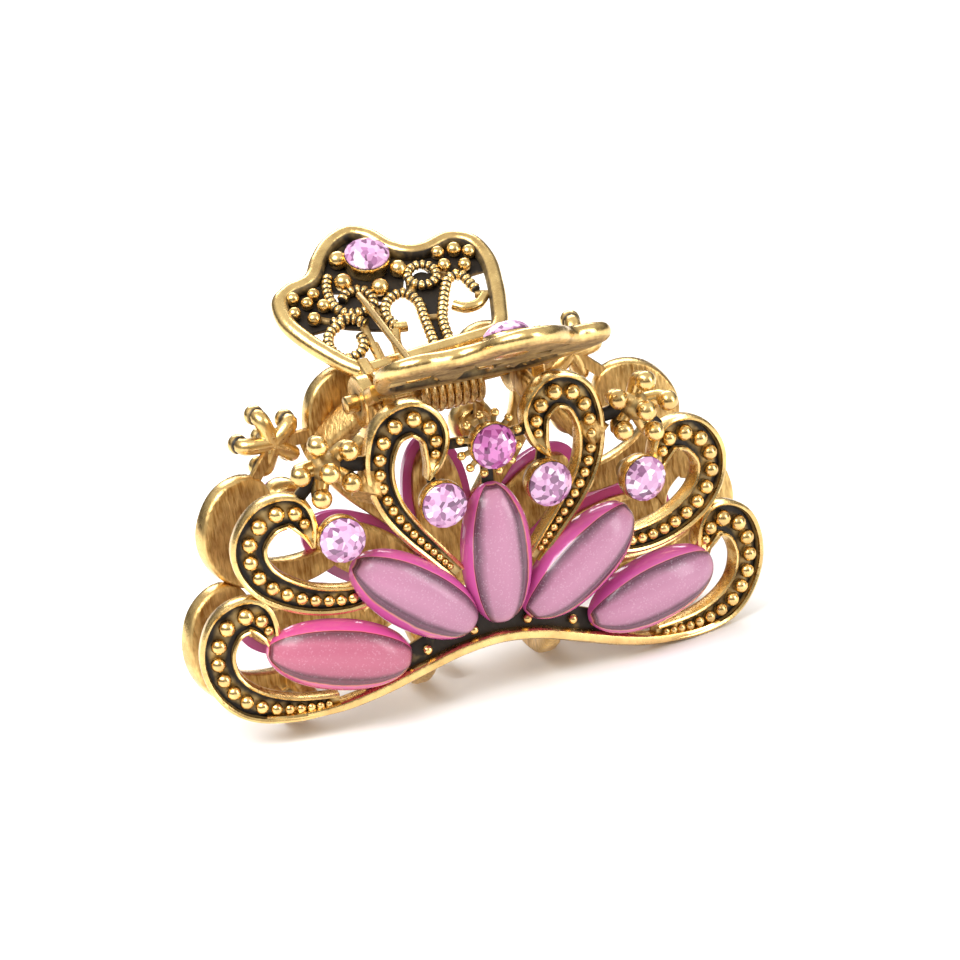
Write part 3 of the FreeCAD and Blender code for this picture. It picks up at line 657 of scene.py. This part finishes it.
def on_lever(a, b, lift=0.0):
    """A point of the front lever. a runs from its right to its left, b out from the pin, lift up from its middle."""
    y = b * math.cos(LEVER_TILT) - lift * math.sin(LEVER_TILT)
    return ASKEW @ Vector((-a, -y, HINGE_Z + b * math.sin(LEVER_TILT) + lift * math.cos(LEVER_TILT)))


def lever_path(points, step=0.12):
    """Smooth (a, b, lift, radius) points on the lever, as points in space."""
    return [tuple(on_lever(a, b, lift)) + (radius,) for a, b, lift, radius in smooth(points, step, axes=3)]


def level_path(points, lift, radius, step=0.12):
    return lever_path([(a, b, lift, radius) for a, b in points], step)


def lever_plate(bm, outline, top, bottom):
    """A flat plate with a black face, and a brushed back darkened with painted shade."""
    face = bm.faces.new([bm.verts.new(on_lever(a, b, top)) for a, b in outline])
    paint(bm, face.verts, 0.8)
    made = bmesh.ops.extrude_face_region(bm, geom=[face])["geom"]
    lower = [item for item in made if isinstance(item, bmesh.types.BMVert)]
    bmesh.ops.translate(bm, verts=lower, vec=on_lever(0, 0, bottom) - on_lever(0, 0, top))
    paint(bm, lower, 0.55, 1.0)


bm = new_bmesh()
rim = smooth([(a, b, RIM_HALF) for a, b in LEVER_RIM], 0.35, closed=True)
rings = []
# The inner side of the rim is blackened with patina; its underside carries painted shade, at 0.42, and brushing.
for a, b, half, (aa, ab) in flat_stations(rim, closed=True):
    rings.append([(on_lever(a + aa * half * (math.cos(t) * 0.98 - 1), b + ab * half * (math.cos(t) * 0.98 - 1),
                            half * math.sin(t)),
                   0.7 if math.cos(t) < -0.6 else 0.42 if math.sin(t) < -0.5 else 0.0, 0.6 if math.sin(t) < -0.5 else 0.0)
                  for t in (2 * math.pi * k / 16 for k in range(16))])
skin(bm, rings, closed=True)
fit(bm, "lever_rim", GOLD)

ROPES = [
    [(-4.2, 17.2), (-5.0, 15.6), (-5.3, 13.7), (-4.9, 12.2), (-3.8, 11.5), (-2.2, 11.7), (-1.5, 12.8), (-2.0, 14.2),
     (-3.4, 14.4), (-4.3, 13.6)],
    [(-5.4, 10.8), (-7.1, 9.9), (-7.8, 8.1), (-7.2, 6.4), (-5.5, 6.4), (-4.6, 7.6), (-4.6, 8.6)],
    [(-6.4, 11.1), (-5.3, 11.2), (-4.3, 10.9), (-3.4, 9.8)],
    [(-1.0, 8.4), (-1.3, 9.9), (-0.7, 11.5), (0.5, 12.3), (1.6, 12.1), (2.2, 10.6), (1.9, 8.6), (1.6, 6.5), (1.3, 4.5)],
    [(6.0, 12.4), (5.0, 10.8), (4.1, 9.1), (3.3, 7.3), (2.8, 4.6)],
    [(6.0, 12.4), (7.3, 12.5), (7.7, 11.0), (7.9, 9.9)]]
RING = (4.0, 13.8, 1.4)
bm = new_bmesh()
for outline in ROPES:
    rod(bm, level_path(outline, 0.1, 0.58), 8, groove=0.32, pitch=0.66)
ring = [(RING[0] + RING[2] * math.cos(t), RING[1] + RING[2] * math.sin(t), 0.15, 0.52)
        for t in (2 * math.pi * k / 12 for k in range(13))]
rod(bm, lever_path(ring), 8, groove=0.3, pitch=0.63)
for a, b in ((-3.2, 13.1), RING[:2]):
    outline = [(a + 0.95 * math.cos(t), b + 0.95 * math.sin(t)) for t in (2 * math.pi * k / 16 for k in range(16))]
    lever_plate(bm, outline, -0.35, -0.75)
for outline in ([(5.1, 9.0), (6.0, 8.2), (7.3, 8.2), (8.3, 9.0)], [(-1.2, 8.5), (-0.5, 8.2), (0.0, 8.1)],
                [(-3.9, 6.8), (-4.1, 4.2)], [(-1.3, 7.8), (-1.8, 6.5), (-2.2, 4.2)]):
    points = [(a, b, 0.0, 0.52) for a, b in outline]
    rod(bm, lever_path(points[:1] + points, 0.25), 10, patina_and_shade=0.1)
for (a, b), (c, d), half in (((-1.3, 9.9), (-1.8, 12.1), 0.35), ((-5.4, 11.1), (-7.1, 12.4), 0.4), ((1.9, 11.8), (2.8, 13.1), 0.4),
                             ((7.7, 9.9), (9.6, 9.1), 0.4), ((-7.6, 8.7), (-9.0, 9.3), 0.4), ((5.3, 13.9), (6.4, 13.7), 0.4),
                             ((-3.6, 9.9), (-3.9, 6.6), 0.4), ((1.9, 8.8), (3.6, 8.3), 0.35)):
    rod(bm, lever_path([(a, b, -0.35, half), (c, d, -0.35, half)], 0.4), 8, patina_and_shade=0.5, brushed=0.5)
fit(bm, "lever_ropes", GOLD, crease=70)

LEVER_STONE = (-0.1, 17.4)
bm = new_bmesh()
lever_plate(bm, [(-5.7, 17.4), (-4.3, 19.6), (-2.5, 21.4), (-0.1, 22.1), (1.6, 20.9), (2.8, 18.6), (4.8, 17.3), (4.4, 15.7),
                 (2.8, 15.2), (1.7, 13.0), (0.0, 12.4), (-1.9, 13.7), (-3.7, 15.3), (-5.1, 15.8)], -0.35, -0.8)
lever_plate(bm, [(-10.4, 12.8), (-10.0, 15.8), (-8.5, 16.9), (-6.2, 17.3), (-4.9, 15.8), (-5.2, 12.4), (-6.8, 11.1), (-8.9, 11.2),
                 (-10.0, 11.6)], -0.36, -0.81)
lever_plate(bm, [(4.2, 17.2), (5.8, 17.3), (8.4, 17.8), (10.3, 16.4), (10.9, 13.9), (9.8, 12.6), (7.2, 12.6), (5.2, 14.1)],
            -0.34, -0.79)
lever_plate(bm, [(-7.0, 12.2), (-5.8, 13.6), (-3.0, 14.6), (-1.2, 13.4), (-0.9, 11.0), (-1.3, 8.6), (-3.0, 9.4), (-5.2, 10.6)],
            -0.38, -0.77)
lever_plate(bm, [(1.9, 12.6), (2.6, 14.6), (5.6, 14.2), (6.0, 12.4), (4.6, 9.8), (3.4, 7.0), (2.9, 4.4), (1.4, 4.4), (1.9, 8.6),
                 (2.3, 10.6)], -0.4, -0.76)
lever_up = (on_lever(0, 0, 1) - on_lever(0, 0, 0)).normalized()
for a, b, radius in ((-8.5, 15.5, 0.68), (-6.5, 15.3, 0.64), (-7.5, 14.4, 0.64), (-6.2, 13.5, 0.68), (-9.1, 13.6, 0.66),
                     (-7.7, 12.2, 0.68), (6.5, 15.9, 0.7), (8.1, 15.7, 0.75), (9.3, 14.9, 0.7), (6.4, 14.1, 0.68),
                     (8.2, 13.4, 0.68), (-2.6, 18.6, 0.92), (-3.3, 15.6, 0.9), (-0.4, 13.6, 0.9), (2.2, 15.3, 0.86)):
    bead(bm, on_lever(a, b, radius * 0.5 - 0.1), lever_up, radius, 14, 9)
    rod(bm, lever_path([(a, b, -0.5, radius * 0.8), (a, b, radius * 0.1, radius * 0.7)], 0.3), 8, patina_and_shade=0.9)
lever_seat = Matrix.Translation(on_lever(LEVER_STONE[0], LEVER_STONE[1], 1.35)) @ lever_up.to_track_quat("Z", "Y").to_matrix().to_4x4()
turned(bm, CUP, lever_seat)
fit(bm, "lever_web_and_balls", GOLD, crease=70)

# ---- Petal cabochons ----
# Long blunt drops of clear pink resin, flat behind and glued to the face. The domed middle is frosted and pearly. The
# sides are clear; the soft dark lines along them are painted shade standing for the dark gold seen through, painted
# wider on one side.
PETAL_HALF_LENGTH = 6.9
PETAL_HALF_WIDTH = 3.37
PETAL_LIFT = -0.7             # flat back below the front of the rims
SEAT_LENGTH = 0.86            # the leaf of metal behind a petal, as a share of the petal
SEAT_WIDTH = 0.74
PETALS = {"centre_petal": (90.0, -1, "mauve"), "inner_petal_right": (36.0, -1, "mauve"), "inner_petal_left": (144.0, 1, "mauve"),
          "outer_petal_right": (11.5, -1, "mauve"), "outer_petal_left": (168.5, 1, "rose")}


def petal_resin(name, core, line, edge, warm):
    """Resin coloured in bands by how far across the petal a point lies; the dark line bands are painted shade."""
    material = bpy.data.materials.new(name)
    material.use_nodes = True
    tree = material.node_tree
    shader = tree.nodes["Principled BSDF"]
    across = tree.nodes.new("ShaderNodeAttribute")
    across.attribute_name = "across"
    place = add_node(tree, "TexCoord").outputs["Object"]
    drift = add_node(tree, "TexNoise", Vector=place, Scale=330.0, Detail=4.0, Roughness=0.65).outputs["Fac"]
    shifted = add_node(tree, "Math", i0=drift, i1=0.14, i2=across.outputs["Fac"])
    shifted.operation = "MULTIPLY_ADD"
    bands = add_node(tree, "ValToRGB", Fac=shifted.outputs[0])
    ramp = bands.color_ramp
    stops = ((0.0, core), (0.42, tuple(c * 0.88 for c in core)), (0.58, line), (0.66, tuple(c * 1.6 for c in line)), (0.77, line),
             (0.82, warm), (0.86, edge), (1.0, tuple(c * 0.85 for c in edge)))
    ramp.elements[0].color = stops[0][1] + (1,)
    ramp.elements[1].color = stops[-1][1] + (1,)
    for position, colour in stops[1:-1]:
        ramp.elements.new(position).color = colour + (1,)
    flakes = add_node(tree, "TexVoronoi", Vector=place, Scale=8500.0)
    spark = add_node(tree, "MapRange", Value=add_node(tree, "SeparateColor", Color=flakes.outputs["Color"]).outputs[0],
                     From_Min=0.84, From_Max=1.0, To_Max=0.11).outputs[0]
    frost = add_node(tree, "MapRange", Value=across.outputs["Fac"], From_Min=0.68, From_Max=0.5).outputs[0]
    glitter = add_node(tree, "Math", i0=spark, i1=frost)
    glitter.operation = "MULTIPLY"
    colour = add_node(tree, "Mix", i0=glitter.outputs[0], i6=bands.outputs["Color"], i7=(1.0, 0.82, 0.92, 1))
    colour.data_type = "RGBA"
    rough = add_node(tree, "MapRange", Value=frost, To_Min=0.08, To_Max=0.5).outputs[0]
    tree.links.new(colour.outputs[2], shader.inputs["Base Color"])
    tree.links.new(rough, shader.inputs["Roughness"])
    shader.inputs["IOR"].default_value = 1.49
    shader.inputs["Coat Weight"].default_value = 0.35
    shader.inputs["Coat Roughness"].default_value = 0.12
    return material


def petal_mesh(bm, place, dark_side):
    """A domed drop with blunt ends. Points carry how far across they lie; on the dark side the frosting stops sooner
    and the painted shade band is wider.
    """
    layer = bm.verts.layers.float.new("across")
    rim = [(-1.0, 0.0, 1.0), (1.0, 0.0, 1.0)]
    dome = []
    for k in range(25):
        t = -math.cos(math.pi * k / 24)
        share = abs(t)
        if t * dark_side < 0:
            share = share * 0.66 if share < 0.82 else 0.84 + 0.8 * (share - 0.82)
        else:
            share *= 1.06 if share < 0.9 else 1.0
        dome.append((t, 0.35 + 2.75 * math.sin(math.pi * k / 24) ** 0.92, share))
    section = rim[:1] + dome + rim[1:]
    rings = []
    steps = 40
    for index in range(steps + 1):
        s = 0.999 * math.sin((index / steps - 0.5) * math.pi)
        girth = (1 - abs(s) ** 2.1) ** 0.5
        rise = (1 - abs(s) ** 3.0) ** 0.5
        end = max(0.0, (abs(s) - 0.88) / 0.12)
        rings.append([(place @ Vector((PETAL_HALF_LENGTH * s, PETAL_HALF_WIDTH * girth * t, 0.02 + h * rise)),
                       max(share, 0.86 * end), 0.0) for t, h, share in section])
    start = len(bm.verts)
    skin(bm, rings)
    bm.verts.ensure_lookup_table()
    patina_and_shade = bm.verts.layers.float["patina_and_shade"]
    for vert in bm.verts[start:]:
        vert[layer] = vert[patina_and_shade]


def petal_seat(bm, place):
    """The cast leaf behind a petal, with a cushioned back and a ragged brush finish."""
    rings = []
    for index in range(25):
        s = 0.995 * math.sin((index / 24 - 0.5) * math.pi)
        half = PETAL_HALF_WIDTH * SEAT_WIDTH * (1 - abs(s) ** 2.1) ** 0.5
        rows = [(1, -0.02), (1, -0.5), (0.8, -0.95), (0, -1.08), (-0.8, -0.95), (-1, -0.5), (-1, -0.02)]
        rings.append([(place @ Vector((PETAL_HALF_LENGTH * SEAT_LENGTH * s, half * t, h)), 0.05, 1.0) for t, h in rows])
    skin(bm, rings)


RESINS = {"mauve": petal_resin("mauve_resin", (0.47, 0.20, 0.31), (0.09, 0.025, 0.05), (0.60, 0.10, 0.34), (0.66, 0.22, 0.18)),
          "rose": petal_resin("rose_resin", (0.47, 0.12, 0.19), (0.10, 0.02, 0.035), (0.60, 0.08, 0.27), (0.68, 0.16, 0.12))}
for name, (angle, dark_side, resin) in PETALS.items():
    bm = new_bmesh()
    petal_mesh(bm, seat("front_" + name, PETAL_LIFT) @ Matrix.Rotation(math.radians(angle), 4, "Z"), dark_side)
    fit(bm, name, RESINS[resin], replaces=name, crease=32)
bm = new_bmesh()
for name, (angle, _, _) in PETALS.items():
    petal_seat(bm, seat("front_" + name, PETAL_LIFT) @ Matrix.Rotation(math.radians(angle), 4, "Z"))
fit(bm, "petal_seats", GOLD)

# ---- Round rhinestones ----
# Foil-backed pink glass, cut with a flat table, sloping crown facets and a point behind.
def stone_mesh(bm, place):
    """Table, star and crown facets over a girdle, and a faceted point behind it."""
    def row(radius, height, count, turn=0.0):
        return [bm.verts.new(place @ Vector((radius * math.cos(t), radius * math.sin(t), height)))
                for t in (2 * math.pi * (k + turn) / count for k in range(count))]
    table = row(STONE_RADIUS * 0.52, 0.86, 8)
    star = row(STONE_RADIUS * 0.78, 0.52, 8, 0.5)
    girdle = row(STONE_RADIUS - 0.02, 0.08, 16)
    under = row(STONE_RADIUS - 0.02, -0.08, 16)
    tip = bm.verts.new(place @ Vector((0, 0, -1.45)))
    bm.faces.new(table)
    for k in range(8):
        following = (k + 1) % 8
        bm.faces.new((table[k], star[k], table[following]))
        bm.faces.new((star[k - 1], girdle[2 * k], star[k], table[k]))
        bm.faces.new((star[k], girdle[2 * k], girdle[2 * k + 1]))
        bm.faces.new((star[k], girdle[2 * k + 1], girdle[(2 * k + 2) % 16]))
    for k in range(16):
        bm.faces.new((girdle[k], under[k], under[(k + 1) % 16], girdle[(k + 1) % 16]))
        bm.faces.new((under[k], tip, under[(k + 1) % 16]))


def crystal(name, tint, depth):
    material = bpy.data.materials.new(name)
    material.use_nodes = True
    tree = material.node_tree
    shader = tree.nodes["Principled BSDF"]
    place = add_node(tree, "TexCoord").outputs["Object"]
    # Random cells paint the sparkle of the facets: near-black cells are painted reflections and near-white cells
    # painted highlights, the rest is the pink of the glass.
    cells = add_node(tree, "TexVoronoi", Vector=place, Scale=1900.0)
    facet = add_node(tree, "SeparateColor", Color=cells.outputs["Color"]).outputs[0]
    spread = add_node(tree, "ValToRGB", Fac=facet)
    ramp = spread.color_ramp
    ramp.elements[0].color = tuple(c * 0.3 for c in depth) + (1,)
    ramp.elements[1].color = (1, 0.9, 1, 1)
    ramp.elements.new(0.3).color = depth + (1,)
    ramp.elements.new(0.55).color = tint + (1,)
    ramp.elements.new(0.85).color = tint + (1,)
    tree.links.new(spread.outputs["Color"], shader.inputs["Base Color"])
    shader.inputs["Roughness"].default_value = 0.03
    shader.inputs["Metallic"].default_value = 0.0
    shader.inputs["IOR"].default_value = 1.7
    return material


PALE = crystal("light_rose_crystal", (0.70, 0.40, 0.62), (0.42, 0.17, 0.35))
STRONG = crystal("rose_crystal", (0.62, 0.18, 0.48), (0.36, 0.06, 0.25))
for name in FACE_STONES:
    bm = new_bmesh()
    stone_mesh(bm, seat("front_" + name, GIRDLE_LIFT))
    fit(bm, name, STRONG if name == "top_stone" else PALE, replaces=name, crease=5)
bm = new_bmesh()
stone_mesh(bm, lever_seat)
fit(bm, "lever_stone", PALE, replaces="lever_stone", crease=5)

# ---- Hinge pin ----
# A plain plated rod through all four ears, nipped at both ends.
bm = new_bmesh()
pin_low, pin_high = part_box("hinge_pin")
reach = pin_high.x / MM
turned(bm, [(0.0, -reach, 0.0), (PIN_RADIUS - 0.2, -reach, 0.0), (PIN_RADIUS, -reach + 0.15, 0.0), (PIN_RADIUS, -reach + 1.0, 0.0),
            (PIN_RADIUS, 0.0, 0.4), (PIN_RADIUS, reach - 1.0, 0.0), (PIN_RADIUS, reach - 0.15, 0.0),
            (PIN_RADIUS - 0.2, reach, 0.1), (0.0, reach, 0.1)],
       Matrix.Translation((0, 0, HINGE_Z)) @ Matrix.Rotation(math.pi / 2, 4, "Y"), 24)
PIN_METAL = plated("dull_pin_gold", (0.74, 0.50, 0.19), (0.34, 0.18, 0.05), 0.6)
bmesh.ops.remove_doubles(bm, verts=bm.verts, dist=1e-5)
pin_piece = fit(bm, "hinge_pin_rod", PIN_METAL, jaws=("rear",))[0]
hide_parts("hinge_pin")

# ---- Torsion spring ----
# Spring wire coiled round the pin. One leg lies on each lever and pushes it outwards, so the coil twists as the clip opens.
WIRE = 0.375
COIL_RADIUS = 2.3
COIL_HALF = 3.1
LEG_LEAN = math.radians(25.6 - 5.5)
TURNS = 8 - 2 * (25.6 - 5.5) / 360
pitch = 2 * COIL_HALF / TURNS
slope = pitch / (2 * math.pi * COIL_RADIUS)


def coil_point(share):
    angle = math.pi / 2 + LEG_LEAN + 2 * math.pi * TURNS * share
    return Vector((COIL_HALF * (2 * share - 1), COIL_RADIUS * math.cos(angle), HINGE_Z + COIL_RADIUS * math.sin(angle)))


leg = Vector((-slope, math.cos(LEG_LEAN), math.sin(LEG_LEAN)))
rear_end = [coil_point(0) + leg * reach for reach in (12.5, 12.3, 10, 8, 6, 4, 2, 1)]
front_leg = Vector((-leg.x, -leg.y, leg.z))
front_end = [coil_point(1) + front_leg * reach for reach in (1, 2, 4, 6, 8, 10, 12.3, 12.5)]
route = rear_end + [coil_point(k / 256) for k in range(257)] + front_end
path = [tuple(point) + (WIRE if 0 < index < len(route) - 1 else WIRE * 0.7,) for index, point in enumerate(route)]
bm = new_bmesh()
# The wire is darkened with painted shade, as the coil lies in shade under the levers.
rod(bm, path, 10, patina_and_shade=0.3)
bmesh.ops.recalc_face_normals(bm, faces=bm.faces)
bmesh.ops.scale(bm, vec=(MM, MM, MM), verts=bm.verts)
spring_mesh = bpy.data.meshes.new("spring_wire")
bm.to_mesh(spring_mesh)
bm.free()
spring_mesh.materials.append(plated("spring_wire_gold", (0.72, 0.50, 0.22), (0.34, 0.19, 0.07), 0.2))
spring_mesh.shade_smooth()
spring = bpy.data.objects.new("spring_wire", spring_mesh)
bpy.context.scene.collection.objects.link(spring)
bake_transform(spring, "rear_jaw", "front_jaw", start=(-COIL_HALF * MM, 0, HINGE_Z * MM), end=(COIL_HALF * MM, 0, HINGE_Z * MM))
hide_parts("torsion_spring")
